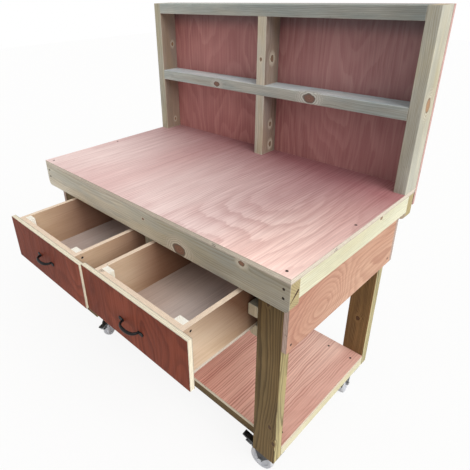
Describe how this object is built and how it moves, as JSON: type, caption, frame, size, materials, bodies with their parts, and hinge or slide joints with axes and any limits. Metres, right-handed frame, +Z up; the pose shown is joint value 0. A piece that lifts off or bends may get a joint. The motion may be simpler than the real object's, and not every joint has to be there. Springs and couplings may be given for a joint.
{
  "type": "wheeled potting bench",
  "caption": "Timber work and potting bench on braked castors, with plywood worktop, lower shelf, pull-out drawers with bow handles and an upstand with a narrow shelf and back panel.",
  "frame": {"origin": "on the floor, under the middle of the bounding box of the bench at rest, with its drawers pulled out", "axes": "+X along the bench to the right as seen from its front, +Y from the front to the back, +Z up"},
  "size_m": [1.365, 1.103, 1.625],
  "materials": {
    "red_ply": "sealed hardwood plywood, pinkish red",
    "pine": "weathered planed softwood, straw to grey green",
    "drawer_ply": "pale birch plywood",
    "black_iron": "black lacquered, satin",
    "zinc": "zinc plated, dull",
    "screw_steel": "blackened steel",
    "grey_rubber": "grey non-marking rubber",
    "fork_steel": "dark painted pressed steel",
    "pedal_plastic": "black moulded"
  },
  "bodies": {
    "bench": {"worktop": "red_ply", "front_rail": "pine", "back_rail": "pine", "left_side_rail": "pine", "right_side_rail": "pine", "front_legs": "pine", "back_legs": "pine", "left_side_panel": "red_ply", "right_side_panel": "red_ply", "back_apron": "red_ply", "lower_shelf": "red_ply", "lower_cross_rails": "pine", "lower_side_rails": "pine", "left_post": "pine", "right_post": "pine", "upper_divider": "pine", "lower_divider": "pine", "upstand_top_rail": "pine", "upstand_shelf": "pine", "back_panel": "red_ply", "drawer_guides": "pine", "drawer_bearers": "pine", "centre_hangers": "pine", "drawer_kickers": "pine", "frame_screws": "screw_steel", "castor_plates": "zinc", "castor_screws": "screw_steel"},
    "left_drawer": {"left_drawer_front": "red_ply", "left_drawer_inner_front": "drawer_ply", "left_drawer_back": "drawer_ply", "left_drawer_sides": "drawer_ply", "left_drawer_bottom": "drawer_ply", "left_drawer_blocks": "pine", "left_drawer_handle": "black_iron", "left_drawer_screws": "screw_steel"},
    "right_drawer": {"right_drawer_front": "red_ply", "right_drawer_inner_front": "drawer_ply", "right_drawer_back": "drawer_ply", "right_drawer_sides": "drawer_ply", "right_drawer_bottom": "drawer_ply", "right_drawer_blocks": "pine", "right_drawer_handle": "black_iron", "right_drawer_screws": "screw_steel"},
    "front_left_castor": {"front_left_fork": "fork_steel", "front_left_pins": "zinc"},
    "front_left_wheel_body": {"front_left_wheel": "grey_rubber"},
    "front_left_pedal_body": {"front_left_pedal": "pedal_plastic"},
    "front_right_castor": {"front_right_fork": "fork_steel", "front_right_pins": "zinc"},
    "front_right_wheel_body": {"front_right_wheel": "grey_rubber"},
    "front_right_pedal_body": {"front_right_pedal": "pedal_plastic"},
    "back_left_castor": {"back_left_fork": "fork_steel", "back_left_pins": "zinc"},
    "back_left_wheel_body": {"back_left_wheel": "grey_rubber"},
    "back_left_pedal_body": {"back_left_pedal": "pedal_plastic"},
    "back_right_castor": {"back_right_fork": "fork_steel", "back_right_pins": "zinc"},
    "back_right_wheel_body": {"back_right_wheel": "grey_rubber"},
    "back_right_pedal_body": {"back_right_pedal": "pedal_plastic"}
  },
  "joints": [
    {"name": "left_drawer_slide", "type": "slide", "parent": "bench", "child": "left_drawer", "axis": [0, -1, 0], "range_m": [-0.283, 0.157]},
    {"name": "right_drawer_slide", "type": "slide", "parent": "bench", "child": "right_drawer", "axis": [0, -1, 0], "range_m": [-0.275, 0.165]},
    {"name": "front_left_swivel", "type": "hinge", "parent": "bench", "child": "front_left_castor", "pos_m": [-0.5325, -0.1335, 0.12], "axis": [0, 0, 1], "continuous": true},
    {"name": "front_left_roll", "type": "hinge", "parent": "front_left_castor", "child": "front_left_wheel_body", "pos_m": [-0.515, -0.16381, 0.05], "axis": [0.866, 0.5, 0], "continuous": true},
    {"name": "front_left_brake", "type": "hinge", "parent": "front_left_castor", "child": "front_left_pedal_body", "pos_m": [-0.4975, -0.19412, 0.097], "axis": [-0.866, -0.5, 0], "range_deg": [0, 8]},
    {"name": "front_right_swivel", "type": "hinge", "parent": "bench", "child": "front_right_castor", "pos_m": [0.5945, -0.1735, 0.12], "axis": [0, 0, 1], "continuous": true},
    {"name": "front_right_roll", "type": "hinge", "parent": "front_right_castor", "child": "front_right_wheel_body", "pos_m": [0.55959, -0.17594, 0.05], "axis": [0.0698, -0.9976, 0], "continuous": true},
    {"name": "front_right_brake", "type": "hinge", "parent": "front_right_castor", "child": "front_right_pedal_body", "pos_m": [0.52467, -0.17838, 0.097], "axis": [-0.0698, 0.9976, 0], "range_deg": [0, 8]},
    {"name": "back_left_swivel", "type": "hinge", "parent": "bench", "child": "back_left_castor", "pos_m": [-0.5945, 0.4045, 0.12], "axis": [0, 0, 1], "continuous": true},
    {"name": "back_left_roll", "type": "hinge", "parent": "back_left_castor", "child": "back_left_wheel_body", "pos_m": [-0.60647, 0.37161, 0.05], "axis": [0.9397, -0.342, 0], "continuous": true},
    {"name": "back_left_brake", "type": "hinge", "parent": "back_left_castor", "child": "back_left_pedal_body", "pos_m": [-0.61844, 0.33872, 0.097], "axis": [-0.9397, 0.342, 0], "range_deg": [0, 8]},
    {"name": "back_right_swivel", "type": "hinge", "parent": "bench", "child": "back_right_castor", "pos_m": [0.5945, 0.4045, 0.12], "axis": [0, 0, 1], "continuous": true},
    {"name": "back_right_roll", "type": "hinge", "parent": "back_right_castor", "child": "back_right_wheel_body", "pos_m": [0.60118, 0.37014, 0.05], "axis": [0.9816, 0.1908, 0], "continuous": true},
    {"name": "back_right_brake", "type": "hinge", "parent": "back_right_castor", "child": "back_right_pedal_body", "pos_m": [0.60786, 0.33579, 0.097], "axis": [-0.9816, -0.1908, 0], "range_deg": [0, 8]}
  ]
}
